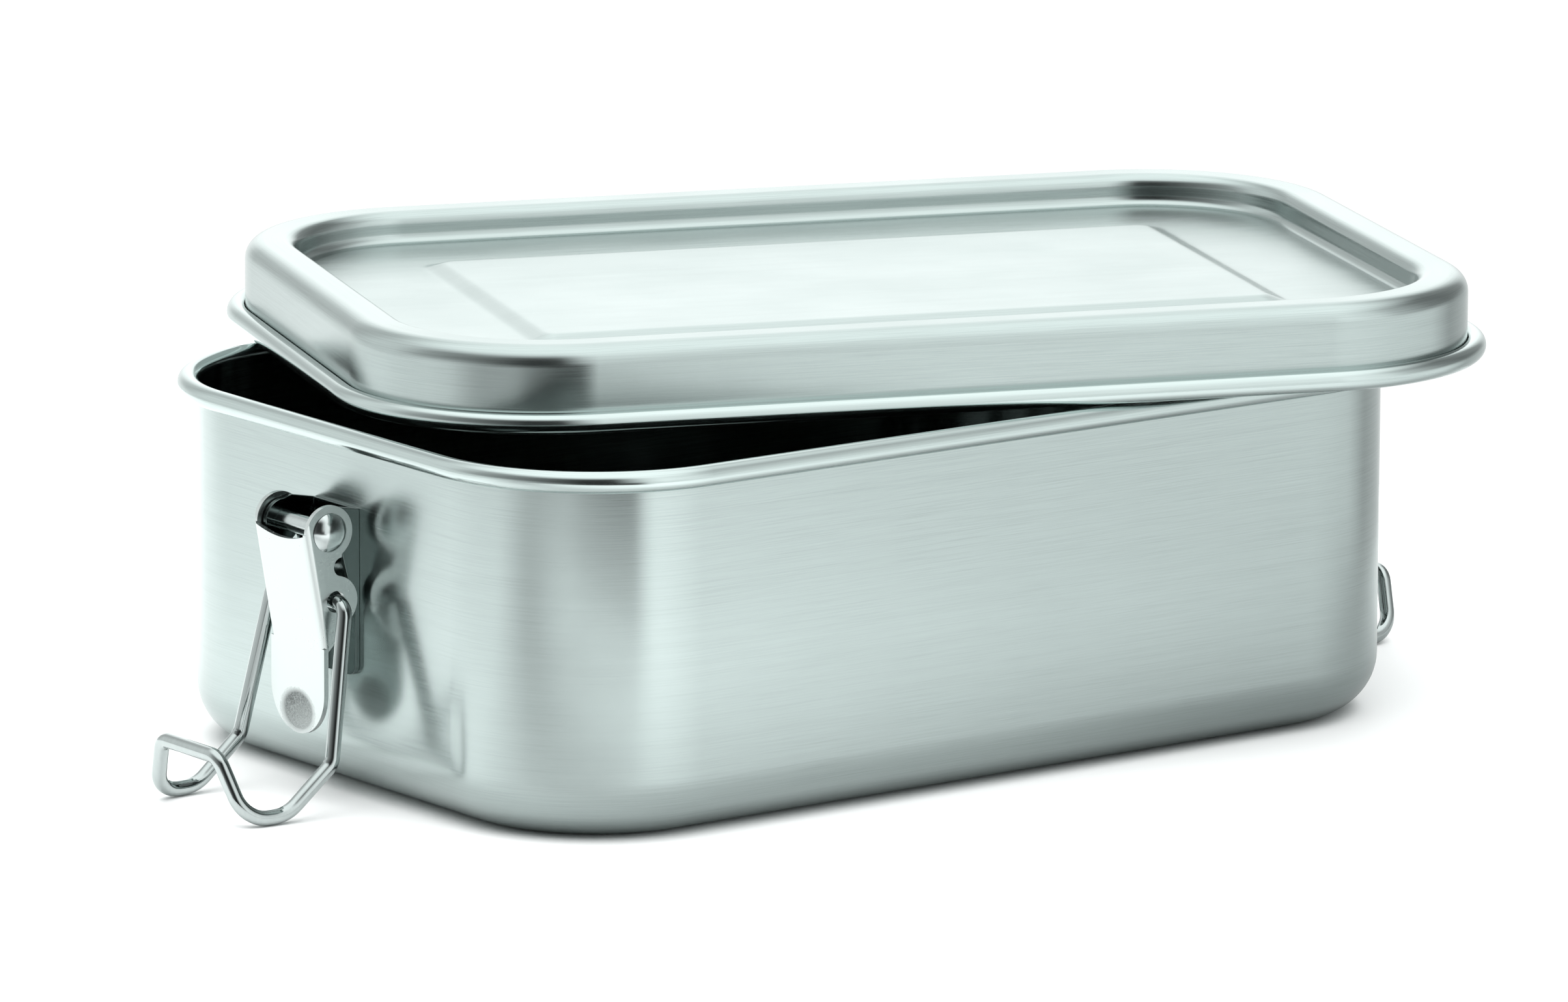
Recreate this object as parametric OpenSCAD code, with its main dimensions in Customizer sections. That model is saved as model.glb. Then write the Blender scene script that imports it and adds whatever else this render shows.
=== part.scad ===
// Two-latch stainless steel lunch box with its lid laid askew on the open rim.
// +Z is up, +X runs along the long side, and the origin is the centre of the box's base.

/* [Box] */
// Outside length of the walls
box_l = 170; // [120:1:220]
// Outside width of the walls
box_w = 112; // [80:1:150]
// Height to the top of the rolled rim
box_h = 57; // [40:1:90]
// Outside radius of the upright corners
box_corner_r = 26.5; // [15:0.5:40]
// Outside radius between walls and base
base_fillet_r = 9; // [4:0.5:14]
// Thickness of the box and lid sheet
sheet_t = 0.4; // [0.3:0.05:0.8]
// Outside radius of the rolled edges
curl_r = 1.65; // [1.2:0.05:2.5]

/* [Lid] */
// Outside length of the lid's skirt
lid_l = 177; // [124:0.5:230]
// Outside width of the lid's skirt
lid_w = 119; // [84:0.5:160]
// Outside radius of the skirt's corners
lid_corner_r = 30; // [18:0.5:44]
// Height from the rolled edge to the top of the ring
lid_h = 13; // [10:0.5:20]
// Width of the raised ring around the lid
ring_w = 8; // [6:0.5:12]
// Outside radius of the ring's outer edge
ring_outer_r = 3; // [1:0.25:4]
// Radius of the ring's inner edge
ring_inner_r = 2; // [1:0.25:3]
// Depth of the sunk floor below the ring
recess_depth = 4.8; // [3:0.1:8]
// Radius between the sunk floor and the ring
recess_fillet_r = 2; // [1:0.25:3]
// Length of the raised middle panel at its foot
panel_l = 121; // [80:1:150]
// Width of the raised middle panel at its foot
panel_w = 66; // [40:1:90]
// Height of the middle panel above the sunk floor
panel_h = 1; // [0.5:0.1:2]
// Width of the sloping edge round the middle panel
panel_bevel = 3; // [1:0.5:6]

/* [Seal] */
// Width of the seal's section
seal_w = 5.5; // [4:0.1:6]
// Height of the seal's section
seal_h = 2.65; // [1.5:0.05:3]
// Radius of the seal's upper edges
seal_edge_r = 1.6; // [0.5:0.1:1.6]

/* [Latch] */
// Thickness of the bracket and lever sheet
latch_t = 0.8; // [0.6:0.1:1.2]
// Outside width of the bracket
bracket_w = 11.8; // [8:0.1:16]
// Height of the bracket's lower edge
bracket_low_z = 19; // [10:0.5:30]
// Height of the bracket's upper edge
bracket_top_z = 44.7; // [35:0.1:50]
// Radius of the bracket's ears round the rivet
bracket_ear_r = 3.2; // [2.5:0.1:5]
// Distance of the rivet from the wall
rivet_out = 6.2; // [5:0.1:9]
// Height of the rivet
rivet_z = 42; // [30:0.1:50]
// Diameter of the rivet's shaft
rivet_d = 3; // [2:0.1:4]
// Diameter of the rivet's heads
rivet_head_d = 5.9; // [4:0.1:8]
// Height of the rivet's domed heads
rivet_head_h = 1.2; // [0.6:0.1:2]
// Outside width of the lever
lever_w = 14; // [10:0.1:20]
// Radius of the lever's ears round the rivet
lever_ear_r = 4.1; // [3:0.1:6]
// Height of the lever's lower end
lever_low_z = 10.2; // [6:0.1:20]
// Distance of the thumb tongue from the wall, to its outer face
tongue_out = 7.3; // [5:0.1:12]
// Height where the sloping lever turns into the upright tongue
tongue_z = 23.7; // [15:0.1:30]
// Outside radius of the lever's bent edges
lever_bend_r = 1.1; // [0.9:0.1:2.5]

/* [Bail] */
// Diameter of the bail wire
wire_d = 2.3; // [1.6:0.1:3]
// Distance of the bail's ends from the wall
bail_pivot_out = 5.1; // [3:0.1:8]
// Height of the bail's ends
bail_pivot_z = 31.3; // [20:0.1:40]
// Radius of the lever's lobe round the bail's end
lobe_r = 3.9; // [2.5:0.1:5]
// Diameter of the lever's hole for the bail's end
bail_hole_d = 3.3; // [2.5:0.1:4.5]

/* [Lid position] */
// Sideways shift of the lid from the box's centre
lid_x = 17; // [-30:0.5:30]
// Front-to-back shift of the lid from the box's centre
lid_y = 7; // [-30:0.5:30]
// Turn of the lid about the upright axis
lid_turn = -19.8; // [-45:0.1:45]
// Gap between the lid's rolled edge and the box's rim
lid_gap = 0.2; // [0.1:0.05:0.5]

/* [Node] */
// Sub-part to draw

/* [Hidden] */
$fn = 48;
curl_x = curl_r - sheet_t;        // rolled edge's centre, outward from the wall
curl_open = 30;                   // part of the roll left open next to the wall, degrees
floor_z = lid_h - recess_depth;   // upper face of the lid's sunk floor
seal_x = -6.9;                    // seal's inner edge, inward from the skirt
seal_gap = 0.05;                  // clearance between the seal and the ring's underside
wall_x = box_l / 2;
pivot_play = 0.05;                // radial play of the lever on the rivet
head_gap = 0.1;                   // gap between the rivet's head and the lever's ear
press = 0.01;                     // radial press of the rivet in the bracket
notch_r = 1.45;                   // cut between the lever's two lobes
notch_at = [4.0, 36.55];
ear_foot = [[4.9, 25.3], [2.7, 28.3]];   // lower edge of the lever's ears
bracket_ear_low = [[2.0, 33.6], [latch_t, 29]]; // lower edge of the bracket's ears
bracket_crest = [1.5, 3.6];       // top of the bracket's ears, wallward of and above the rivet
bracket_foot_r = 2;               // lower corners of the bracket's plate
lever_top_dip = 1.3;              // hollow in the lever's upper edge
lever_proud = 0.3;                // front plate's step beyond the ears' round ends
ear_spare = 2;                    // length by which the ears' outline passes the front plate
tongue_lap = 0.5;                 // length by which the tongue enters the folded part
bend_swell = 0.02;                // extra radius of the wire where it is bent
bend_lap = 0.05;                  // length by which a straight enters a bend
steel = [0.74, 0.78, 0.77];
latch_steel = [0.83, 0.86, 0.85];
polished = [0.68, 0.71, 0.71];
silicone = [0.86, 0.87, 0.85];

// Corner points of the bail's wire: distance from the wall, side offset, height, bend radius
bail_path = [
    [bail_pivot_out, 5.3, bail_pivot_z, 0],
    [bail_pivot_out, 9.45, bail_pivot_z, 2.2],
    [9.5, 12.2, 8.0, 2.6],
    [17.6, 12.0, 1.22, 6],
    [24.9, 11.7, 1.22, 4.8],
    [26.8, 7.4, 10.5, 2.6]
];

// ---------- shared shapes ----------

// Sweeps a section round a rounded rectangle. Section x is measured outward from the outline.
module round_sweep(l, w, r) {
    for (q = [0 : 3]) {
        sx = (q == 0 || q == 3) ? 1 : -1;
        sy = (q < 2) ? 1 : -1;
        translate([sx * (l / 2 - r), sy * (w / 2 - r), 0])
            rotate([0, 0, 90 * q])
                rotate_extrude(angle = 90)
                    translate([r, 0])
                        children();
    }
    for (s = [-1, 1]) {
        rotate([0, 0, s > 0 ? 0 : 180])
            translate([l / 2, w / 2 - r, 0])
                rotate([90, 0, 0])
                    linear_extrude(height = w - 2 * r)
                        children();
        rotate([0, 0, s > 0 ? 90 : -90])
            translate([w / 2, l / 2 - r, 0])
                rotate([90, 0, 0])
                    linear_extrude(height = l - 2 * r)
                        children();
    }
}

// Rolled edge's section, open from from_a to from_a + curl_open
module curl_section(from_a) {
    difference() {
        circle(r = curl_r);
        circle(r = curl_r - sheet_t);
        polygon([
            [0, 0],
            2 * curl_r * [cos(from_a), sin(from_a)],
            2 * curl_r * [cos(from_a + curl_open), sin(from_a + curl_open)]
        ]);
    }
}

// Quarter of a bent sheet round the origin, in the quadrant given by signs
module quarter_bend(r_out, sx, sy) {
    intersection() {
        difference() {
            circle(r = r_out);
            circle(r = r_out - sheet_t);
        }
        translate([sx > 0 ? 0 : -r_out, sy > 0 ? 0 : -r_out])
            square(r_out);
    }
}

// ---------- box ----------

module box_section() {
    translate([-sheet_t, base_fillet_r])
        square([sheet_t, box_h - curl_r - base_fillet_r]);
    translate([-base_fillet_r, base_fillet_r])
        quarter_bend(base_fillet_r, 1, -1);
    translate([-box_corner_r, 0])
        square([box_corner_r - base_fillet_r, sheet_t]);
    translate([curl_x, box_h - curl_r])
        curl_section(181);
}

module box_shell() {
    color(steel) {
        round_sweep(box_l, box_w, box_corner_r)
            box_section();
        translate([-box_l / 2 + box_corner_r, -box_w / 2 + box_corner_r, 0])
            cube([box_l - 2 * box_corner_r, box_w - 2 * box_corner_r, sheet_t]);
    }
}

// ---------- lid ----------

module lid_section() {
    wall_in = -ring_w - sheet_t;
    // skirt, rolled edge and ring
    translate([-sheet_t, curl_r])
        square([sheet_t, lid_h - ring_outer_r - curl_r]);
    translate([curl_x, curl_r])
        curl_section(149);
    translate([-ring_outer_r, lid_h - ring_outer_r])
        quarter_bend(ring_outer_r, 1, 1);
    translate([-ring_w + ring_inner_r, lid_h - sheet_t])
        square([ring_w - ring_inner_r - ring_outer_r, sheet_t]);
    translate([-ring_w + ring_inner_r, lid_h - ring_inner_r])
        quarter_bend(ring_inner_r, -1, 1);
    // inner wall of the ring and border of the sunk floor
    translate([-ring_w, floor_z + recess_fillet_r - sheet_t])
        square([sheet_t, lid_h - ring_inner_r - floor_z - recess_fillet_r + sheet_t]);
    translate([-ring_w + sheet_t - recess_fillet_r, floor_z - sheet_t + recess_fillet_r])
        quarter_bend(recess_fillet_r, 1, -1);
    translate([-lid_corner_r, floor_z - sheet_t])
        square([lid_corner_r - ring_w + sheet_t - recess_fillet_r, sheet_t]);
}

// Sloping-edged block, from z = 0 down to its foot at -sheet_t
module panel_block(l, w) {
    h = panel_h + sheet_t;
    slope = panel_bevel * h / panel_h;
    intersection() {
        rotate([90, 0, 0])
            linear_extrude(height = 2 * w, center = true)
                polygon([[-l / 2, -h], [l / 2, -h], [l / 2 - slope, 0], [-l / 2 + slope, 0]]);
        rotate([90, 0, 90])
            linear_extrude(height = 2 * l, center = true)
                polygon([[-w / 2, -h], [w / 2, -h], [w / 2 - slope, 0], [-w / 2 + slope, 0]]);
    }
}

module lid_at() {
    translate([lid_x, lid_y, box_h + lid_gap])
        rotate([0, 0, lid_turn])
            children();
}

module lid_shell() {
    inner_l = lid_l - 2 * lid_corner_r;
    inner_w = lid_w - 2 * lid_corner_r;
    grow = 2 * panel_bevel * sheet_t / panel_h;
    color(steel)
        lid_at()
            difference() {
                union() {
                    round_sweep(lid_l, lid_w, lid_corner_r)
                        lid_section();
                    translate([-inner_l / 2, -inner_w / 2, floor_z - sheet_t])
                        cube([inner_l, inner_w, sheet_t]);
                    translate([0, 0, floor_z + panel_h])
                        panel_block(panel_l + grow, panel_w + grow);
                }
                translate([0, 0, floor_z + panel_h - sheet_t])
                    panel_block(panel_l + grow, panel_w + grow);
            }
}

module lid_seal() {
    top = lid_h - sheet_t - seal_gap;
    color(silicone)
        lid_at()
            round_sweep(lid_l, lid_w, lid_corner_r)
                translate([seal_x, top - seal_h])
                    union() {
                        square([seal_w, seal_h - seal_edge_r]);
                        translate([seal_edge_r, 0])
                            square([seal_w - 2 * seal_edge_r, seal_h]);
                        translate([seal_edge_r, seal_h - seal_edge_r])
                            circle(r = seal_edge_r - 0.001);
                        translate([seal_w - seal_edge_r, seal_h - seal_edge_r])
                            circle(r = seal_edge_r - 0.001);
                    }
}

// ---------- latches ----------

// Puts a latch drawn in (distance from wall, side, height) on the left (-1) or right (1) wall
module on_wall(side) {
    rotate([0, 0, side > 0 ? 0 : 180])
        translate([wall_x, 0, 0])
            children();
}

// Plate drawn as (distance from wall, height), w wide and centred across
module side_plate(w) {
    rotate([90, 0, 0])
        linear_extrude(height = w, center = true)
            children();
}

module bracket_outline() {
    translate([rivet_out, rivet_z])
        circle(r = bracket_ear_r);
    polygon([
        [0, bracket_low_z],
        [latch_t, bracket_low_z],
        bracket_ear_low[1],
        bracket_ear_low[0],
        [rivet_out - 0.8 * bracket_ear_r, rivet_z - 0.6 * bracket_ear_r],
        [rivet_out, rivet_z],
        [rivet_out, rivet_z + bracket_ear_r],
        [rivet_out - bracket_crest[0], rivet_z + bracket_crest[1]],
        [0, bracket_top_z]
    ]);
}

module bracket(side) {
    color(latch_steel)
        on_wall(side)
            difference() {
                side_plate(bracket_w)
                    bracket_outline();
                translate([latch_t, -bracket_w / 2 + latch_t, 0])
                    cube([2 * rivet_out, bracket_w - 2 * latch_t, box_h]);
                translate([rivet_out, 0, rivet_z])
                    rotate([90, 0, 0])
                        cylinder(r = rivet_d / 2 - press, h = 2 * bracket_w, center = true);
                for (s = [-1, 1]) {
                    scale([1, s, 1])
                        translate([-1, bracket_w / 2 - bracket_foot_r, bracket_low_z])
                            difference() {
                                translate([0, 0, -1])
                                    cube([latch_t + 2, bracket_foot_r + 1, bracket_foot_r + 1]);
                                translate([-1, 0, bracket_foot_r])
                                    rotate([0, 90, 0])
                                        cylinder(r = bracket_foot_r, h = latch_t + 4);
                            }
                }
            }
}

module rivet(side) {
    grip = lever_w + 2 * head_gap;
    // ball radius of a dome rivet_head_h high on a rivet_head_d base
    ball = (rivet_head_d * rivet_head_d / 4 + rivet_head_h * rivet_head_h) / (2 * rivet_head_h);
    color(polished)
        on_wall(side)
            translate([rivet_out, 0, rivet_z])
                rotate([90, 0, 0]) {
                    cylinder(d = rivet_d, h = grip, center = true);
                    for (s = [0, 180]) {
                        rotate([s, 0, 0])
                            intersection() {
                                translate([0, 0, grip / 2 + rivet_head_h - ball])
                                    sphere(r = ball);
                                translate([0, 0, grip / 2])
                                    cylinder(r = ball, h = ball);
                            }
                    }
                }
}

// Outline of the lever's ears seen from the side, reaching past the front plate
module ear_outline() {
    front = rivet_out + lever_ear_r;
    difference() {
        union() {
            translate([rivet_out, rivet_z])
                circle(r = lever_ear_r);
            translate([bail_pivot_out, bail_pivot_z])
                circle(r = lobe_r);
            polygon([
                [rivet_out, rivet_z],
                [front + ear_spare, rivet_z],
                [tongue_out + ear_spare, tongue_z],
                [tongue_out - latch_t, tongue_z],
                ear_foot[0],
                ear_foot[1],
                [bail_pivot_out, bail_pivot_z],
                [notch_at[0], bail_pivot_z + 3],
                [notch_at[0], rivet_z - 3]
            ]);
        }
        translate(notch_at)
            circle(r = notch_r);
        translate([rivet_out, rivet_z])
            circle(r = rivet_d / 2 + pivot_play);
        translate([bail_pivot_out, bail_pivot_z])
            circle(d = bail_hole_d);
    }
}

// Bent channel the lever is folded to: rounded front corners, open towards the wall
module lever_channel() {
    front = rivet_out + lever_ear_r + lever_proud;
    lean = atan2(front - tongue_out, rivet_z - tongue_z);
    long = 2 * box_h;
    translate([front, 0, rivet_z])
        rotate([0, lean, 0])
            translate([0, 0, -long / 2])
                linear_extrude(height = long)
                    difference() {
                        union() {
                            translate([-3 * lever_ear_r, -lever_w / 2])
                                square([3 * lever_ear_r - lever_bend_r, lever_w]);
                            translate([-lever_bend_r - 1, -lever_w / 2 + lever_bend_r])
                                square([lever_bend_r + 1, lever_w - 2 * lever_bend_r]);
                            for (s = [-1, 1]) {
                                translate([-lever_bend_r, s * (lever_w / 2 - lever_bend_r)])
                                    circle(r = lever_bend_r);
                            }
                        }
                        translate([-4 * lever_ear_r, -lever_w / 2 + latch_t])
                            square([4 * lever_ear_r - latch_t, lever_w - 2 * latch_t]);
                    }
}

module lever(side) {
    end_r = lever_w / 2;
    dip_r = (end_r * end_r + lever_top_dip * lever_top_dip) / (2 * lever_top_dip);
    color(latch_steel)
        on_wall(side) {
            // folded part with both ears
            difference() {
                intersection() {
                    side_plate(lever_w)
                        ear_outline();
                    lever_channel();
                }
                intersection() {
                    translate([0, 0, rivet_z - lever_top_dip + dip_r])
                        rotate([0, 90, 0])
                            cylinder(r = dip_r, h = 4 * rivet_out);
                    translate([rivet_out, -lever_w / 2 + latch_t, rivet_z - 2 * lever_top_dip])
                        cube([2 * rivet_out, lever_w - 2 * latch_t, box_h]);
                }
            }
            // thumb tongue with a round end
            translate([tongue_out - latch_t, 0, lever_low_z + end_r])
                rotate([0, 90, 0])
                    cylinder(r = end_r, h = latch_t);
            translate([tongue_out - latch_t, -end_r, lever_low_z + end_r])
                cube([latch_t, lever_w, tongue_z + tongue_lap - lever_low_z - end_r]);
        }
}

// ---------- bail ----------

function unit(v) = v / norm(v);
function pos(p) = [p[0], p[1], p[2]];

// Draws a child along +Z at point p, turned so that its X axis lies along x and its Z along z
module frame_at(p, x, z) {
    y = cross(z, x);
    multmatrix([
        [x[0], y[0], z[0], p[0]],
        [x[1], y[1], z[1], p[1]],
        [x[2], y[2], z[2], p[2]],
        [0, 0, 0, 1]
    ])
        children();
}

module rod(a, b) {
    z = unit(b - a);
    x = unit(cross(z, abs(z[1]) < 0.9 ? [0, 1, 0] : [1, 0, 0]));
    frame_at(a, x, z)
        cylinder(d = wire_d, h = norm(b - a));
}

// Wire bend of radius r at corner b between a and c
module bend(a, b, c, r) {
    d_in = unit(b - a);
    d_out = unit(c - b);
    turn = acos(d_in * d_out);
    start = b - d_in * r * tan(turn / 2);
    axis = unit(cross(d_in, d_out));
    inward = cross(axis, d_in);
    frame_at(start + inward * r, -inward, axis)
        rotate_extrude(angle = turn)
            translate([r, 0])
                circle(r = wire_d / 2 + bend_swell);
}

// Distance from corner b to where its bend begins
function cutback(a, b, c, r) = r * tan(acos(unit(b - a) * unit(c - b)) / 2);

module bail(side) {
    last = len(bail_path) - 1;
    near = [for (p = bail_path) [p[0], -p[1], p[2], p[3]]];
    far = [for (i = [last : -1 : 0]) bail_path[i]];
    path = concat(near, far);
    n = len(path);
    cut = [for (i = [0 : n - 1]) (i == 0 || i == n - 1)
        ? 0
        : cutback(pos(path[i - 1]), pos(path[i]), pos(path[i + 1]), path[i][3])];
    color(polished)
        on_wall(side) {
            for (i = [0 : n - 2]) {
                a = pos(path[i]);
                b = pos(path[i + 1]);
                d = unit(b - a);
                rod(a + d * max(0, cut[i] - bend_lap), b - d * max(0, cut[i + 1] - bend_lap));
            }
            for (i = [1 : n - 2])
                bend(pos(path[i - 1]), pos(path[i]), pos(path[i + 1]), path[i][3]);
        }
}

module bracket_left() bracket(-1);
module bracket_right() bracket(1);
module rivet_left() rivet(-1);
module rivet_right() rivet(1);
module lever_left() lever(-1);
module lever_right() lever(1);
module bail_left() bail(-1);
module bail_right() bail(1);

box_shell();
lid_shell();
lid_seal();
bracket_left();
bracket_right();
rivet_left();
rivet_right();
lever_left();
lever_right();
bail_left();
bail_right();
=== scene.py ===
import math

import bmesh
import bpy
from mathutils import Matrix, Vector


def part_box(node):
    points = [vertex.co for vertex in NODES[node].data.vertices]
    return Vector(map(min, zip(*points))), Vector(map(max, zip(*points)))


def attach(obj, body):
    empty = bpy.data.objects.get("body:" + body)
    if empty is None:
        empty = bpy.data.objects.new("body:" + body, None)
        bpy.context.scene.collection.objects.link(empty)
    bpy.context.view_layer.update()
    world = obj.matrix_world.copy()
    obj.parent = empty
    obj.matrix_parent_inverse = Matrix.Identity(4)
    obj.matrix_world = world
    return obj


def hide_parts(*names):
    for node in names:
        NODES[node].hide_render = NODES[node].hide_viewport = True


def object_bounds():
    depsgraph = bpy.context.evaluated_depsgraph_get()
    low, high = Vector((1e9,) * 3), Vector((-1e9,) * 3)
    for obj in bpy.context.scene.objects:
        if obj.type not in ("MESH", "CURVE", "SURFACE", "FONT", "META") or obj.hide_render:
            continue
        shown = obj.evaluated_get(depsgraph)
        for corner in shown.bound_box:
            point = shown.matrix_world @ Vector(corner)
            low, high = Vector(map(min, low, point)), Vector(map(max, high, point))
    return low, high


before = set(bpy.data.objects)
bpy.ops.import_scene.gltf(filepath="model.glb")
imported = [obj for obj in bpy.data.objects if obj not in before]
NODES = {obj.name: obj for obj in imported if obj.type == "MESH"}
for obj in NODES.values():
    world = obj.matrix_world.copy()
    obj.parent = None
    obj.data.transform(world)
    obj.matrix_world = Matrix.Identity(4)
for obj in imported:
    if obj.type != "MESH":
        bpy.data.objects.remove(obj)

CAD_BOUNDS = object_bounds()
MM = 0.001

# Sizes are in millimetres.
SHEET = 0.4  # thickness of the pressings
CURL = 1.65  # outer radius of a rolled edge
CURL_X = CURL - SHEET  # how far outside the wall the middle of the roll lies
CURL_SWEEP = 316  # how far round the edge is rolled, in degrees

BOX_L, BOX_W, BOX_H, BOX_R = 170.0, 112.0, 57.0, 26.5
BASE_R = 9.0  # round from the wall to the base
BASE_FLAT = 22.0  # where the base's last loop lies, in from the wall

LID_L, LID_W, LID_R, LID_H = 177.0, 119.0, 30.0, 13.0
LID_TURN = -19.8  # degrees about Z
INSET = 0.03  # keeps the smooth outline inside the CAD's faceted one
LID_DROP = 0.002  # does the same in Z
RING_W, RING_OUT, RING_IN = 8.0, 3.0, 2.0  # the raised ring and the rounds of its two shoulders
FLOOR_Z, FILLET = 8.2, 2.0  # the sunk floor
PANEL_L, PANEL_W, PANEL_R, PANEL_H, BEVEL = 121.0, 66.0, 3.4, 1.0, 3.0

# The bail's corners, from its end in the lever to the hook: out from the wall, along it, up, bend radius
BAIL = [(5.1, 5.3, 31.3, 0), (5.1, 9.45, 31.3, 2.2), (9.5, 12.2, 8.0, 2.6), (17.6, 12.0, 1.22, 6.0),
        (24.9, 11.7, 1.22, 4.8), (26.8, 7.4, 10.5, 2.6)]
WIRE_R = 1.15
TIGHT = 3.0  # bends under this radius show the bending tool's mark
HEAD_H, HEAD_R, SHAFT_R = 1.2, 2.95, 1.5  # rivet
LEVER_FACE = 7.3  # from the end wall to the outside of the lever's tongue
DISH_Z, DISH_ACROSS, DISH_UP, DISH_DEEP = 13.6, 4.7, 3.6, 0.50  # thumb dish: middle, half sizes, depth


# ---------------------------------------------------------------- small tools

def mesh_from(bm, name):
    me = bpy.data.meshes.new(name)
    bm.to_mesh(me)
    bm.free()
    return me


def make_object(name, mesh, materials, body):
    obj = bpy.data.objects.new(name, mesh)
    bpy.context.scene.collection.objects.link(obj)
    for m in materials:
        mesh.materials.append(m)
    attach(obj, body)
    return obj


def circle(count):
    turns = [2 * math.pi * k / count for k in range(count)]
    return [(math.cos(a), math.sin(a)) for a in turns]


def skin(bm, a, b):
    """Faces between two closed rings of points. A ring of one point is a tip."""
    count = max(len(a), len(b))
    for k in range(count):
        j = (k + 1) % count
        if len(a) == 1:
            bm.faces.new((a[0], b[j], b[k]))
        elif len(b) == 1:
            bm.faces.new((a[k], a[j], b[0]))
        else:
            bm.faces.new((a[k], a[j], b[j], b[k]))


def smooth_by_angle(obj, degrees):
    """Smooth shading that keeps edges sharper than the angle."""
    me = obj.data
    me.polygons.foreach_set("use_smooth", [True] * len(me.polygons))
    bm = bmesh.new()
    bm.from_mesh(me)
    limit = math.radians(degrees)
    for e in bm.edges:
        e.smooth = not (len(e.link_faces) == 2 and e.calc_face_angle(0) > limit)
    bm.to_mesh(me)
    bm.free()


# ---------------------------------------------------------------- materials

class Graph:
    """A short way to write node trees."""

    def __init__(self, tree):
        self.tree = tree
        tree.nodes.clear()

    def node(self, kind, **props):
        n = self.tree.nodes.new(kind)
        for k, v in props.items():
            setattr(n, k, v)
        return n

    def link(self, a, b):
        self.tree.links.new(a, b)

    def math(self, op, a, b=None):
        n = self.node("ShaderNodeMath", operation=op)
        for i, v in enumerate((a, b)):
            if isinstance(v, (int, float)):
                n.inputs[i].default_value = v
            elif v is not None:
                self.link(v, n.inputs[i])
        return n.outputs[0]

    def add(self, a, b):
        return self.math("ADD", a, b)

    def times(self, a, b):
        return self.math("MULTIPLY", a, b)

    def xyz(self, vector):
        n = self.node("ShaderNodeSeparateXYZ")
        self.link(vector, n.inputs[0])
        return n.outputs

    def mix(self, factor, a, b):
        """Blends two colours, each a socket or a tuple."""
        n = self.node("ShaderNodeMix", data_type="RGBA")
        self.link(factor, n.inputs["Factor"])
        for socket, v in ((n.inputs[6], a), (n.inputs[7], b)):
            if isinstance(v, tuple):
                socket.default_value = (*v, 1)
            else:
                self.link(v, socket)
        return n.outputs[2]

    def noise(self, vector, scale=1.0, detail=2.0, rough=0.5, distortion=0.0):
        n = self.node("ShaderNodeTexNoise")
        n.inputs["Scale"].default_value = scale
        n.inputs["Detail"].default_value = detail
        n.inputs["Roughness"].default_value = rough
        n.inputs["Distortion"].default_value = distortion
        self.link(vector, n.inputs["Vector"])
        return n.outputs["Fac"]

    def stretch(self, vector, sx, sy, sz):
        n = self.node("ShaderNodeMapping")
        n.inputs["Scale"].default_value = (sx, sy, sz)
        self.link(vector, n.inputs["Vector"])
        return n.outputs["Vector"]

    def ramp(self, fac, stops):
        n = self.node("ShaderNodeValToRGB")
        el = n.color_ramp.elements
        while len(el) < len(stops):
            el.new(0.5)
        for e, (p, col) in zip(el, stops):
            e.position = p
            e.color = (*col, 1)
        self.link(fac, n.inputs["Fac"])
        return n.outputs["Color"]

    def mapped(self, fac, a, b, lo, hi, interpolation="LINEAR"):
        n = self.node("ShaderNodeMapRange", interpolation_type=interpolation)
        for i, v in enumerate((a, b, lo, hi)):
            n.inputs[i + 1].default_value = v
        self.link(fac, n.inputs[0])
        return n.outputs[0]

    def bump(self, height, strength, distance, normal=None):
        n = self.node("ShaderNodeBump")
        n.inputs["Strength"].default_value = strength
        n.inputs["Distance"].default_value = distance
        self.link(height, n.inputs["Height"])
        if normal is not None:
            self.link(normal, n.inputs["Normal"])
        return n.outputs["Normal"]


def material(name):
    m = bpy.data.materials.new(name)
    m.use_nodes = True
    g = Graph(m.node_tree)
    out = g.node("ShaderNodeOutputMaterial")
    bsdf = g.node("ShaderNodeBsdfPrincipled")
    g.link(bsdf.outputs[0], out.inputs[0])
    return m, g, bsdf


def shade(c, k):
    return tuple(v * k for v in c)


STEEL = (0.465, 0.525, 0.515)
FINE = 0.00003  # depth of the finest surface marks, in metres


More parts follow.
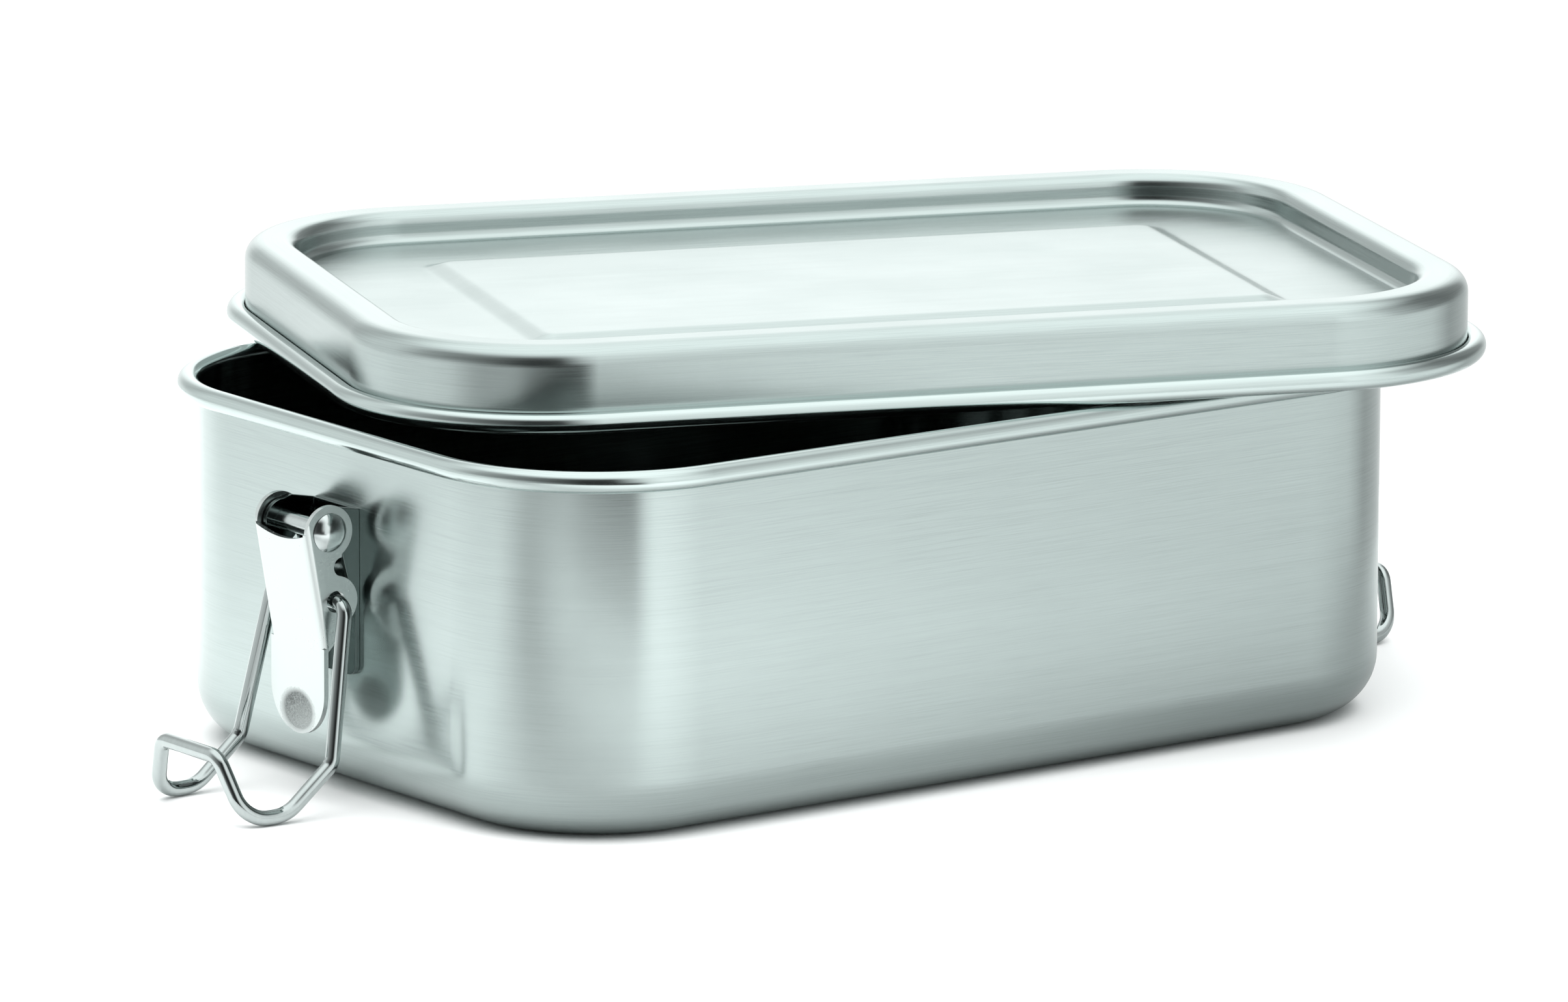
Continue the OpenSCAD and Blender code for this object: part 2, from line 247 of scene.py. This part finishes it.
def brushed(name, colour, rough, spread, aniso, line, bump, dark):
    """Brushed steel. The grain runs along U of the map named grain, which is in millimetres."""
    m, g, b = material(name)
    b.inputs["Metallic"].default_value = 1.0
    b.inputs["Anisotropic"].default_value = aniso
    b.inputs["Anisotropic Rotation"].default_value = 0.25
    uv = g.node("ShaderNodeUVMap", uv_map="grain").outputs[0]
    fine = g.noise(g.stretch(uv, 0.045, line, 1), detail=4, rough=0.65)
    hair = g.noise(g.stretch(uv, 0.11, line * 2.6, 1), detail=2, rough=0.5)
    band = g.noise(g.stretch(uv, 0.012, 0.60, 1), detail=3, rough=0.55, distortion=0.2)
    cloud = g.noise(g.stretch(uv, 0.035, 0.05, 1), detail=3, rough=0.5)
    lines = g.add(g.times(fine, 0.6), g.times(hair, 0.4))
    tone = g.add(g.times(lines, 0.85), g.times(band, 0.15))
    colours = g.ramp(tone, [(0.30, shade(colour, dark)), (0.52, colour), (0.72, shade(colour, 1.07))])
    g.link(colours, b.inputs["Base Color"])
    gloss = g.add(g.mapped(lines, 0.3, 0.7, rough - spread, rough + spread),
                  g.mapped(cloud, 0.3, 0.7, -0.03, 0.03))
    g.link(gloss, b.inputs["Roughness"])
    height = g.add(g.times(fine, 0.7), g.times(hair, 0.5))
    g.link(g.bump(height, bump, FINE), b.inputs["Normal"])
    t = g.node("ShaderNodeTangent", direction_type="UV_MAP", uv_map="grain")
    g.link(t.outputs[0], b.inputs["Tangent"])
    return m


def stipple(g, at, colour, base, gloss, normal):
    """The rough, greyer patch in the lever's thumb dish: partly its stippled finish, partly painted shade
    that makes it darkest towards the top.
    """
    _, across, height = g.xyz(at)
    up = g.times(g.math("SUBTRACT", height, DISH_Z * MM), 1.3)
    away = g.math("SQRT", g.add(g.times(across, across), g.times(up, up)))
    pits = g.noise(at, scale=3300, detail=2, rough=0.7)
    patch = g.mapped(g.add(away, g.times(pits, 0.0014)), 0.0054, 0.0043, 0, 1)
    # painted shade: the dish is darkened towards its top and inner side, where shade falls in the hollow
    shadow = g.mapped(g.add(up, g.times(across, 0.6)), -0.006, 0.004, 0.08, 1.0)
    dish_grey_and_shade = g.times(g.times(patch, shadow), g.mapped(pits, 0.35, 0.65, 0.55, 1.15))
    return (g.mix(dish_grey_and_shade, base, shade(colour, 0.30)), g.add(gloss, g.times(patch, 0.16)),
            g.bump(g.times(patch, pits), 0.8, 0.00018, normal))


def satin(name, colour, rough, grain_scale, bump, stretch=(1, 1, 1), wear=0.08, vary=0.25, dish=False):
    """Steel without a grain map: a soft satin or polish with fine specks and wear."""
    m, g, b = material(name)
    b.inputs["Metallic"].default_value = 1.0
    at = g.node("ShaderNodeTexCoord").outputs["Object"]
    speck = g.noise(at, scale=grain_scale, detail=3, rough=0.6)
    drag = g.noise(g.stretch(at, *stretch), scale=grain_scale * 0.5, detail=4, rough=0.6)
    cloud = g.noise(at, scale=140, detail=3, rough=0.5)
    tone = g.add(g.times(drag, 0.6), g.times(cloud, 0.4))
    base = g.ramp(tone, [(0.3, shade(colour, 1 - wear)), (0.6, colour), (0.75, shade(colour, 1.04))])
    gloss = g.mapped(tone, 0.3, 0.7, rough * (1 - vary), rough * (1 + vary))
    normal = g.bump(g.add(g.times(speck, 0.5), drag), bump, FINE)
    if dish:
        # the dish patch carries painted shade as well as its stippled finish
        base, gloss, normal = stipple(g, at, colour, base, gloss, normal)
    g.link(base, b.inputs["Base Color"])
    g.link(gloss, b.inputs["Roughness"])
    g.link(normal, b.inputs["Normal"])
    return m


def silicone():
    m, g, b = material("seal_silicone")
    at = g.node("ShaderNodeTexCoord").outputs["Object"]
    fine = g.noise(at, scale=2600, detail=3)
    cloud = g.noise(at, scale=90, detail=3)
    g.link(g.ramp(cloud, [(0.3, (0.70, 0.72, 0.70)), (0.7, (0.80, 0.81, 0.79))]), b.inputs["Base Color"])
    g.link(g.mapped(fine, 0.3, 0.7, 0.42, 0.6), b.inputs["Roughness"])
    b.inputs["Subsurface Weight"].default_value = 0.25
    b.inputs["Subsurface Radius"].default_value = (0.002, 0.002, 0.002)
    b.inputs["Specular IOR Level"].default_value = 0.4
    g.link(g.bump(fine, 0.15, FINE), b.inputs["Normal"])
    return m


OUTSIDE = brushed("brushed_outside", STEEL, 0.215, 0.04, 0.66, 5.0, 0.06, dark=0.84)
LIDTOP = brushed("brushed_lid", STEEL, 0.21, 0.04, 0.70, 5.0, 0.06, dark=0.84)
# painted shade: the inside and the lid's underside are the same steel, darkened to 0.62 for the shade they
# lie in
INSIDE_SHADED = brushed("drawn_inside_shaded", shade(STEEL, 0.62), 0.15, 0.04, 0.35, 1.6, 0.05, dark=0.7)
# painted highlight: the rolled edges are the same steel, brightened 1.15 times for a brighter sheen
ROLLED_BRIGHTENED = brushed("rolled_edge_brightened", shade(STEEL, 1.15), 0.17, 0.05, 0.40, 3.0, 0.10, dark=0.9)
LEVER = satin("satin_lever", (0.61, 0.65, 0.643), 0.26, 5200, 0.015, wear=0.025, vary=0.08, dish=True)
# painted shade: the brackets sit behind the levers and are coloured near black for the shade they lie in
BRACKET_SHADED = satin("satin_bracket_shaded", (0.13, 0.16, 0.155), 0.10, 3600, 0.12)
WIRE = satin("polished_wire", (0.47, 0.51, 0.505), 0.05, 2400, 0.05, stretch=(1, 1, 0.15))
RIVET = satin("polished_rivet", (0.58, 0.625, 0.62), 0.15, 3800, 0.08)
SEAL = silicone()


# ---------------------------------------------------------------- lofted shells

ARC = 26  # steps round a corner
SIDES = (30, 18)  # steps along a long and a short side


def spread(n):
    """Places along a straight side, close together next to its two ends."""
    edge = [0.004, 0.02]
    inner = [0.05 + 0.90 * i / n for i in range(n + 1)]
    return edge + inner + [1 - e for e in reversed(edge)]


def rounded(l, w, r):
    """A rounded rectangle; every one has the same count and order of points."""
    pts = []
    corners = [(1, 1), (-1, 1), (-1, -1), (1, -1)]
    for q, (sx, sy) in enumerate(corners):
        cx = sx * (l / 2 - r)
        cy = sy * (w / 2 - r)
        for i in range(ARC + 1):
            a = math.radians(90 * q + 90 * i / ARC)
            pts.append(Vector((cx + r * math.cos(a), cy + r * math.sin(a))))
        nx, ny = corners[(q + 1) % 4]
        a = math.radians(90 * q + 90)
        goal = Vector((nx * (l / 2 - r) + r * math.cos(a), ny * (w / 2 - r) + r * math.sin(a)))
        start = pts[-1].copy()
        for t in spread(SIDES[q % 2]):
            pts.append(start.lerp(goal, t))
    return pts


def arc(cx, cz, r, a0, a1, n):
    """Profile points on an arc from angle a0 to a1, in degrees."""
    angles = [math.radians(a0 + (a1 - a0) * i / n) for i in range(n + 1)]
    return [(cx + r * math.cos(a), cz + r * math.sin(a)) for a in angles]


def line(p0, p1, n=1):
    """Points strictly between two profile points, with one close to each end."""
    out = []
    length = math.dist(p0, p1)
    near = min(0.25, length * 0.2) / length
    ts = [near] + [near + (1 - 2 * near) * i / (n + 1) for i in range(1, n + 1)] + [1 - near]
    for t in ts:
        out.append((p0[0] + (p1[0] - p0[0]) * t, p0[1] + (p1[1] - p0[1]) * t))
    return out


def loft(name, loops, place, materials, body, outline):
    """Skins a list of (length, width, radius, height, material, flat grain) loops and closes both ends."""
    ref = rounded(*outline)
    n = len(ref)
    u = [0.0]
    for i in range(n):
        u.append(u[-1] + (ref[(i + 1) % n] - ref[i]).length)
    bm = bmesh.new()
    uv = bm.loops.layers.uv.new("grain")
    rings = []
    v = [0.0]
    for k, (l, w, r, z, _, _) in enumerate(loops):
        rings.append([bm.verts.new((p.x, p.y, z)) for p in rounded(l, w, r)])
        if k:
            v.append(v[-1] + math.hypot((l - loops[k - 1][0]) / 2, z - loops[k - 1][3]))
    for k in range(len(rings) - 1):
        mat, flat = loops[k + 1][4], loops[k + 1][5]
        for i in range(n):
            j = (i + 1) % n
            f = bm.faces.new((rings[k][i], rings[k][j], rings[k + 1][j], rings[k + 1][i]))
            f.material_index = mat
            f.smooth = True
            ends = ((u[i], v[k]), (u[i + 1], v[k]), (u[i + 1], v[k + 1]), (u[i], v[k + 1]))
            for lp, uvs in zip(f.loops, ends):
                lp[uv].uv = (lp.vert.co.x, lp.vert.co.y) if flat else uvs
    for ring, mat in ((rings[0], loops[0][4]), (list(reversed(rings[-1])), loops[-1][4])):
        f = bm.faces.new(list(reversed(ring)))
        f.material_index = mat
        f.smooth = True
        for lp in f.loops:
            lp[uv].uv = (lp.vert.co.x, lp.vert.co.y)
    bmesh.ops.recalc_face_normals(bm, faces=bm.faces)
    bmesh.ops.transform(bm, matrix=place @ Matrix.Scale(MM, 4), verts=bm.verts)
    return make_object(name, mesh_from(bm, name), materials, body)


def rolled(z, sweep, mat):
    """The rolled edge: its inside from the wall round to the cut edge, then its outside back again."""
    end = 180 + sweep
    inside = arc(CURL_X, z, CURL - SHEET, 180, end, 22)
    outside = arc(CURL_X, z, CURL, end, 180, 34)
    return [(x, z, mat, False) for x, z in inside + outside]


def stretch_of(mat, points, flat=False):
    return [(x, z, mat, flat) for x, z in points]


def grown(length, width, radius, rows):
    """Loops for loft from profile rows, whose first value is how far outside the outline a row lies."""
    return [(length + 2 * p, width + 2 * p, radius + p, z, mat, flat) for p, z, mat, flat in rows]


def build_box():
    OUT, IN, ROLL = 0, 1, 2
    rim = BOX_H - CURL
    rows = [(-BASE_FLAT, 0, OUT, True)]
    rows += stretch_of(OUT, line((-BASE_FLAT, 0), (-BASE_R, 0), 1), flat=True)
    rows += stretch_of(OUT, arc(-BASE_R, BASE_R, BASE_R, -90, 0, 16))
    rows += stretch_of(OUT, line((0, BASE_R), (0, rim), 8))
    rows += rolled(rim, -CURL_SWEEP, ROLL)
    rows += stretch_of(IN, line((-SHEET, rim), (-SHEET, BASE_R), 8))
    rows += stretch_of(IN, arc(-BASE_R, BASE_R, BASE_R - SHEET, 0, -90, 16))
    rows += stretch_of(IN, line((-BASE_R, SHEET), (-BASE_FLAT, SHEET), 1), flat=True)
    rows += [(-BASE_FLAT, SHEET, IN, True)]
    lo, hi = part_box("box_shell")
    place = Matrix.Translation(((lo[0] + hi[0]) / 2, (lo[1] + hi[1]) / 2, lo[2]))
    obj = loft("box_tub", grown(BOX_L, BOX_W, BOX_R, rows), place, [OUTSIDE, INSIDE_SHADED, ROLLED_BRIGHTENED], "box",
               (BOX_L, BOX_W, BOX_R))
    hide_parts("box_shell")


# The panel's edge from its top to the floor: how far across the bevel, and how much of the height is lost
PANEL_EDGE = [(-0.35, 0.0), (-0.14, 0.004), (0.0, 0.03), (0.12, 0.105), (0.3, 0.29), (0.5, 0.5), (0.7, 0.71),
              (0.88, 0.895), (1.0, 0.97), (1.14, 0.996), (1.35, 1.0)]


def panel(z, mat, edge):
    loops = []
    for across, lost in edge:
        p = BEVEL * across - BEVEL
        loops.append((PANEL_L + 2 * p, PANEL_W + 2 * p, PANEL_R + p * 0.6, z - lost * PANEL_H, mat, True))
    return loops


def build_lid():
    TOP, IN, ROLL, SKIRT = 0, 1, 2, 3
    inner = -RING_W
    inner_mid = -RING_W + RING_IN
    shoulder_out, shoulder_in = LID_H - RING_OUT, LID_H - RING_IN
    foot_x, foot_z = inner + SHEET - FILLET, FLOOR_Z - SHEET + FILLET
    flat_from, flat_to = foot_x - 3.5, foot_x - 0.4  # two loops on the flat floor, beside the fillet

    rows = [(flat_from, FLOOR_Z, TOP, True), (flat_to, FLOOR_Z, TOP, True)]
    rows += stretch_of(TOP, arc(foot_x, foot_z, FILLET - SHEET, -90, 0, 10))
    rows += stretch_of(TOP, line((inner, foot_z), (inner, shoulder_in), 1))
    rows += stretch_of(TOP, arc(inner_mid, shoulder_in, RING_IN, 180, 90, 12))
    rows += stretch_of(TOP, line((inner_mid, LID_H), (-RING_OUT, LID_H), 1))
    rows += stretch_of(TOP, arc(-RING_OUT, shoulder_out, RING_OUT, 90, 0, 16))
    rows += stretch_of(SKIRT, line((0, shoulder_out), (0, CURL), 4))
    rows += rolled(CURL, CURL_SWEEP, ROLL)
    rows += stretch_of(IN, line((-SHEET, CURL), (-SHEET, shoulder_out), 4))
    rows += stretch_of(IN, arc(-RING_OUT, shoulder_out, RING_OUT - SHEET, 0, 90, 12))
    rows += stretch_of(IN, line((-RING_OUT, LID_H - SHEET), (inner_mid, LID_H - SHEET), 1))
    rows += stretch_of(IN, arc(inner_mid, shoulder_in, RING_IN - SHEET, 90, 180, 8))
    rows += stretch_of(IN, line((inner + SHEET, shoulder_in), (inner + SHEET, foot_z), 1))
    rows += stretch_of(IN, arc(foot_x, foot_z, FILLET, 0, -90, 10))
    rows += [(flat_to, FLOOR_Z - SHEET, IN, True), (flat_from, FLOOR_Z - SHEET, IN, True)]

    loops = panel(FLOOR_Z + PANEL_H, TOP, PANEL_EDGE)
    loops += grown(LID_L - INSET, LID_W - INSET, LID_R, rows)
    loops += panel(FLOOR_Z + PANEL_H - SHEET, IN, PANEL_EDGE[::-1])
    lo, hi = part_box("lid_shell")
    place = (Matrix.Translation(((lo[0] + hi[0]) / 2, (lo[1] + hi[1]) / 2, lo[2] - LID_DROP * MM))
             @ Matrix.Rotation(math.radians(LID_TURN), 4, "Z"))
    obj = loft("lid_pressing", loops, place, [LIDTOP, INSIDE_SHADED, ROLLED_BRIGHTENED, OUTSIDE], "lid",
               (LID_L, LID_W, LID_R))
    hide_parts("lid_shell")


# ---------------------------------------------------------------- latch

def on_wall(side, out, along, up):
    """A point given by distance from the end wall, offset along it and height, in metres."""
    return Vector((side * (BOX_L / 2 + out) * MM, side * along * MM, up * MM))


def wire_path(corners):
    """Points along straights and bends, in millimetres.

    Each is a place, the way to the bend's inside (or None) and how deep in a tight bend it is, 0 to 1.
    """
    pts = [(Vector(corners[0][:3]), None, 0.0)]
    for i in range(1, len(corners) - 1):
        a, b, c = (Vector(corners[k][:3]) for k in (i - 1, i, i + 1))
        r = corners[i][3]
        d0, d1 = (b - a).normalized(), (c - b).normalized()
        turn = d0.angle(d1)
        axis = d0.cross(d1).normalized()
        inward = axis.cross(d0).normalized()
        start = b - d0 * (r * math.tan(turn / 2))
        mid = start + inward * r
        last = pts[-1][0]
        steps = max(2, int((start - last).length / 1.2))
        for k in range(1, steps):
            pts.append((last.lerp(start, k / steps), None, 0.0))
        n = max(6, int(math.degrees(turn) / 6))
        for k in range(n + 1):
            out = Matrix.Rotation(turn * k / n, 3, axis) @ (-inward)
            pts.append((mid + out * r, -out, math.sin(math.pi * k / n) if r < TIGHT else 0.0))
    last = pts[-1][0]
    end = Vector(corners[-1][:3])
    for k in range(1, 4):
        pts.append((last.lerp(end, k / 3), None, 0.0))
    return pts


def wire_radius(direction, inward, squash):
    """The bending tool's mark: a small ridge on the inside of the bend, the outside a little flat."""
    if inward is None or not squash:
        return WIRE_R
    lean = direction.dot(inward)
    return WIRE_R + 0.13 * squash ** 4 * max(0.0, lean) ** 6 - 0.05 * squash * max(0.0, -lean) ** 3


def build_bail(side, tag):
    mirrored = [(x, -y, z, r) for x, y, z, r in BAIL]
    path = wire_path(mirrored + BAIL[::-1])
    around = circle(28)
    bm = bmesh.new()
    normal = (path[1][0] - path[0][0]).normalized().orthogonal().normalized()
    rings = []
    for i, (p, inward, squash) in enumerate(path):
        before = path[max(i - 1, 0)][0]
        after = path[min(i + 1, len(path) - 1)][0]
        along = (after - before).normalized()
        normal = (normal - along * normal.dot(along)).normalized()
        other = along.cross(normal)
        ring = []
        for c, s in around:
            d = normal * c + other * s
            q = p + d * wire_radius(d, inward, squash)
            ring.append(bm.verts.new(on_wall(side, q.x, q.y, q.z)))
        rings.append(ring)
    for a, b in zip(rings, rings[1:]):
        skin(bm, a, b)
    # each end has a small chamfer and a flat cap
    for ring, tip, behind in ((rings[0], path[0][0], path[1][0]), (rings[-1], path[-1][0], path[-2][0])):
        push = (tip - behind).normalized()
        shift = on_wall(side, push.x, push.y, push.z) - on_wall(side, 0, 0, 0)
        mid = sum((v.co for v in ring), Vector()) / len(ring)
        small = [bm.verts.new(mid.lerp(v.co, 0.86) + shift * 0.12) for v in ring]
        skin(bm, ring, small)
        bm.faces.new(small)
    bmesh.ops.recalc_face_normals(bm, faces=bm.faces)
    node = "bail_" + tag
    obj = make_object(node + "_wire", mesh_from(bm, node + "_wire"), [WIRE], node)
    smooth_by_angle(obj, 32)
    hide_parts(node)


def build_rivet(tag):
    """Lathed rivet along Y: slim shaft, domed heads with a small rolled lip."""
    node = "rivet_" + tag
    lo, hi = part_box(node)
    cx, cy, cz = ((a + b) / 2 for a, b in zip(lo, hi))
    half = (hi[1] - lo[1]) / 2 / MM
    base = half - HEAD_H
    dome = [(0.0, 0.0), (0.5, 0.012), (1.0, 0.075), (1.5, 0.2), (2.0, 0.4), (2.4, 0.65), (2.7, 0.9),
            (2.87, 1.06), (HEAD_R, 1.14)]
    prof = [(r, half - drop) for r, drop in dome]
    prof += [(2.9, base), (2.72, base), (1.62, base), (SHAFT_R, base - 0.1)]
    prof += [(SHAFT_R, 0.0)] + [(r, -y) for r, y in reversed(prof)]
    around = circle(56)
    bm = bmesh.new()
    rings = []
    for r, y in prof:
        places = around if r else [(0.0, 0.0)]
        rings.append([bm.verts.new((cx + r * MM * c, cy + y * MM, cz + r * MM * s)) for c, s in places])
    for a, b in zip(rings, rings[1:]):
        skin(bm, a, b)
    bmesh.ops.recalc_face_normals(bm, faces=bm.faces)
    obj = make_object(node + "_turned", mesh_from(bm, node + "_turned"), [RIVET], "box")
    smooth_by_angle(obj, 50)
    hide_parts(node)


def cut_away(obj, cutter):
    """Takes the cutter out of the object's mesh, then deletes the cutter."""
    cut = obj.modifiers.new("cut", "BOOLEAN")
    cut.operation = "DIFFERENCE"
    cut.solver = "EXACT"
    cut.object = cutter
    bpy.context.view_layer.update()
    done = bpy.data.meshes.new_from_object(obj.evaluated_get(bpy.context.evaluated_depsgraph_get()))
    obj.modifiers.clear()
    done.name = obj.data.name
    obj.data = done
    bpy.data.objects.remove(cutter)


def refined(node, mat, body, cutter=None):
    """A sheet part: the CAD solid's shape with its cut edges eased."""
    me = NODES[node].data.copy()
    me.name = node + "_pressed"
    me.materials.clear()
    obj = make_object(node + "_pressed", me, [mat], body)
    bm = bmesh.new()
    bm.from_mesh(me)
    bmesh.ops.remove_doubles(bm, verts=bm.verts, dist=2e-7)
    bmesh.ops.dissolve_limit(bm, angle_limit=math.radians(0.4), verts=bm.verts, edges=bm.edges)
    for f in bm.faces:
        f.material_index = 0
    bm.to_mesh(me)
    bm.free()
    for layer in list(me.uv_layers):
        me.uv_layers.remove(layer)
    if me.attributes.get("custom_normal"):
        me.attributes.remove(me.attributes["custom_normal"])
    smooth_by_angle(obj, 30)
    if cutter is not None:
        cut_away(obj, cutter)
        smooth_by_angle(obj, 30)
    ease = obj.modifiers.new("ease", "BEVEL")
    ease.width = 0.0001
    ease.segments = 2
    ease.limit_method = "ANGLE"
    ease.angle_limit = math.radians(40)
    ease.use_clamp_overlap = True
    ease.harden_normals = True
    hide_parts(node)


def dish_cutter(side):
    """The solid that presses the shallow oval dish into the outside of the thumb tongue."""
    around = circle(48)
    rows, reach = 14, 1.04  # the cutter is a little wider than the dish
    bm = bmesh.new()

    def oval(out, size):
        return [bm.verts.new(on_wall(side, out, DISH_ACROSS * size * c, DISH_Z + DISH_UP * size * s))
                for c, s in around]

    rings = [[bm.verts.new(on_wall(side, LEVER_FACE - DISH_DEEP, 0, DISH_Z))]]
    for i in range(1, rows + 1):
        size = reach * i / rows
        proud = 0.0008 if size < 1 else 0.02
        depth = DISH_DEEP * max(0.0, 1 - size * size) ** 1.3 - proud
        rings.append(oval(LEVER_FACE - depth, size))
    rings.append(oval(LEVER_FACE + 1.5, reach))
    for a, b in zip(rings, rings[1:]):
        skin(bm, a, b)
    bm.faces.new(rings[-1])
    bmesh.ops.recalc_face_normals(bm, faces=bm.faces)
    obj = bpy.data.objects.new("dish_cutter", mesh_from(bm, "dish_cutter"))
    bpy.context.scene.collection.objects.link(obj)
    return obj


build_box()
build_lid()
for side, tag in ((-1, "left"), (1, "right")):
    build_bail(side, tag)
    build_rivet(tag)
    refined("bracket_" + tag, BRACKET_SHADED, "box")
    refined("lever_" + tag, LEVER, "lever_" + tag, dish_cutter(side))
for place in NODES["lid_seal"].material_slots:
    place.material = SEAL


# ---------------------------------------------------------------- studio

FLOOR = (500.0, 620.0, 80.0)  # length, width and corner radius in millimetres
FLOOR_AT = (-65.0, 22.0)
FLOOR_DROP = 0.00002  # how far the floor lies under the object, in metres

# Painted light falloff across the floor, seen only in reflections: how bright the steel sees it, by X as a
# part of the way from -250 to 250 mm
FLOOR_PAINTED_LIGHT = [(0.10, 0.72), (0.24, 0.88), (0.31, 0.88), (0.355, 0.92), (0.41, 0.92), (0.52, 0.80),
               (0.64, 0.66), (0.80, 0.54)]

# How bright the room is all round, by direction in degrees from +X: below the horizon and above it
LOW = [(-180, 0.95), (-168, 0.70), (-158, 0.46), (-146, 0.18), (-134, 0.03), (-100, 0.03), (-95, 1.10),
       (-86, 1.24), (-66, 1.22), (-50, 1.15), (-38, 1.12), (-20, 1.05), (0, 0.55), (30, 0.70), (60, 1.05),
       (88, 1.12), (120, 0.96), (145, 0.96), (165, 1.04), (180, 0.95)]
HIGH = [(-180, 0.34), (-150, 0.14), (-132, 0.04), (-114, 0.05), (-94, 1.20), (-84, 1.45), (-62, 1.20),
        (-48, 0.80), (-20, 0.34), (0, 0.24), (28, 0.38), (43, 1.42), (54, 1.60), (64, 1.42), (78, 0.80),
        (92, 0.70), (118, 1.04), (138, 1.00), (160, 0.52), (180, 0.34)]
CEILING = (0.80, 0.83, 0.825)
ROOM_STRENGTH = 2.0


def is_camera(g):
    return g.node("ShaderNodeLightPath").outputs["Is Camera Ray"]


def build_floor():
    """Pale for the camera. Reflections see painted light and shade on it: a painted falloff along X, a
    painted shadow by the front wall and painted shade far out at the front left.
    """
    m, g, b = material("studio_floor")
    at = g.node("ShaderNodeTexCoord").outputs["Object"]
    x, y, _ = g.xyz(at)
    pale = g.ramp(g.noise(at, scale=3, detail=2), [(0.3, (0.93, 0.93, 0.93)), (0.7, (0.95, 0.95, 0.95))])
    # painted light falloff along X
    along = g.ramp(g.mapped(x, -0.25, 0.25, 0, 1), [(p, (v, v + 0.01, v + 0.01)) for p, v in FLOOR_PAINTED_LIGHT])
    # painted contact shadow on the floor by the front wall
    near = g.mapped(g.math("ABSOLUTE", g.add(y, 0.070)), 0.010, 0.065, 0.62, 1.0)
    # painted shade far out at the front left
    far = g.math("MAXIMUM", g.mapped(y, -0.250, -0.195, 0.05, 1.0), g.mapped(x, -0.110, -0.060, 0.0, 1.0))
    reflected_light_and_shade = g.mix(g.times(near, far), (0.0, 0.0, 0.0), along)
    g.link(g.mix(is_camera(g), reflected_light_and_shade, pale), b.inputs["Base Color"])
    b.inputs["Roughness"].default_value = 0.7
    b.inputs["Specular IOR Level"].default_value = 0.15
    bm = bmesh.new()
    edge = [((p.x + FLOOR_AT[0]) * MM, (p.y + FLOOR_AT[1]) * MM, 0) for p in rounded(*FLOOR)]
    bm.faces.new([bm.verts.new(p) for p in edge])
    me = mesh_from(bm, "studio_floor")
    me.materials.append(m)
    obj = bpy.data.objects.new("studio_floor", me)
    obj.location.z = CAD_BOUNDS[0][2] - FLOOR_DROP
    bpy.context.scene.collection.objects.link(obj)


def build_world():
    """White for the camera. Reflections see a bright room with a dark gap towards the front left."""
    w = bpy.data.worlds.new("studio")
    bpy.context.scene.world = w
    w.use_nodes = True
    g = Graph(w.node_tree)
    x, y, z = g.xyz(g.node("ShaderNodeTexCoord").outputs["Generated"])
    turn = g.mapped(g.math("ARCTAN2", y, x), -math.pi, math.pi, 0, 1)

    def ring(room):
        return g.ramp(turn, [((at + 180) / 360, (v * 0.965 / 2, v / 2, v * 0.995 / 2)) for at, v in room])

    sides = g.mix(g.mapped(z, -0.06, 0.14, 0, 1), ring(LOW), ring(HIGH))
    room = g.node("ShaderNodeBackground")
    g.link(g.mix(g.mapped(z, 0.62, 0.95, 0, 1, "SMOOTHSTEP"), sides, CEILING), room.inputs[0])
    room.inputs[1].default_value = ROOM_STRENGTH
    plain = g.node("ShaderNodeBackground")
    plain.inputs[0].default_value = (1, 1, 1, 1)
    plain.inputs[1].default_value = 1.05
    mix = g.node("ShaderNodeMixShader")
    g.link(is_camera(g), mix.inputs[0])
    g.link(room.outputs[0], mix.inputs[1])
    g.link(plain.outputs[0], mix.inputs[2])
    g.link(mix.outputs[0], g.node("ShaderNodeOutputWorld").inputs[0])


LAMP_AT = (-0.18, -0.22, 1.25)
LAMP_SIZE = 2.0
LAMP_POWER = 27


def build_lamp():
    """One large soft lamp over the object. It lights the floor, and the steel doesn't mirror it."""
    light = bpy.data.lights.new("overhead", "AREA")
    light.shape = "RECTANGLE"
    light.size = light.size_y = LAMP_SIZE
    light.energy = LAMP_POWER
    obj = bpy.data.objects.new("overhead", light)
    obj.location = LAMP_AT
    obj.rotation_euler = (-Vector(LAMP_AT)).to_track_quat("-Z", "Y").to_euler()
    obj.visible_camera = False
    obj.visible_glossy = False
    bpy.context.scene.collection.objects.link(obj)


# Found by fitting the camera to the photo's outlines: degrees, then millimetres, then metres
AZIMUTH, ELEVATION, ROLL = -36.6778, 11.999, 0.2336
LENS, SENSOR = 299.584, 36
DISTANCE, ACROSS, UP = 2.016989, -0.0009711, 0.0336356


def build_camera():
    az, el, roll = (math.radians(v) for v in (AZIMUTH, ELEVATION, ROLL))
    back = Vector((math.sin(az) * math.cos(el), -math.cos(az) * math.cos(el), math.sin(el)))
    level = (-back).cross(Vector((0, 0, 1))).normalized()
    upright = level.cross(-back).normalized()
    right = level * math.cos(roll) + upright * math.sin(roll)
    up = -level * math.sin(roll) + upright * math.cos(roll)
    cam = bpy.data.cameras.new("camera")
    cam.sensor_fit = "HORIZONTAL"
    cam.sensor_width = SENSOR
    cam.lens = LENS
    cam.clip_start, cam.clip_end = 0.1, 50
    cam.dof.use_dof = False
    obj = bpy.data.objects.new("camera", cam)
    turn = Matrix((right, up, back)).transposed().to_4x4()
    obj.matrix_world = Matrix.Translation(back * DISTANCE + right * ACROSS + up * UP) @ turn
    bpy.context.scene.collection.objects.link(obj)
    bpy.context.scene.camera = obj


build_floor()
build_world()
build_lamp()
build_camera()
bpy.context.scene.view_settings.view_transform = "Standard"
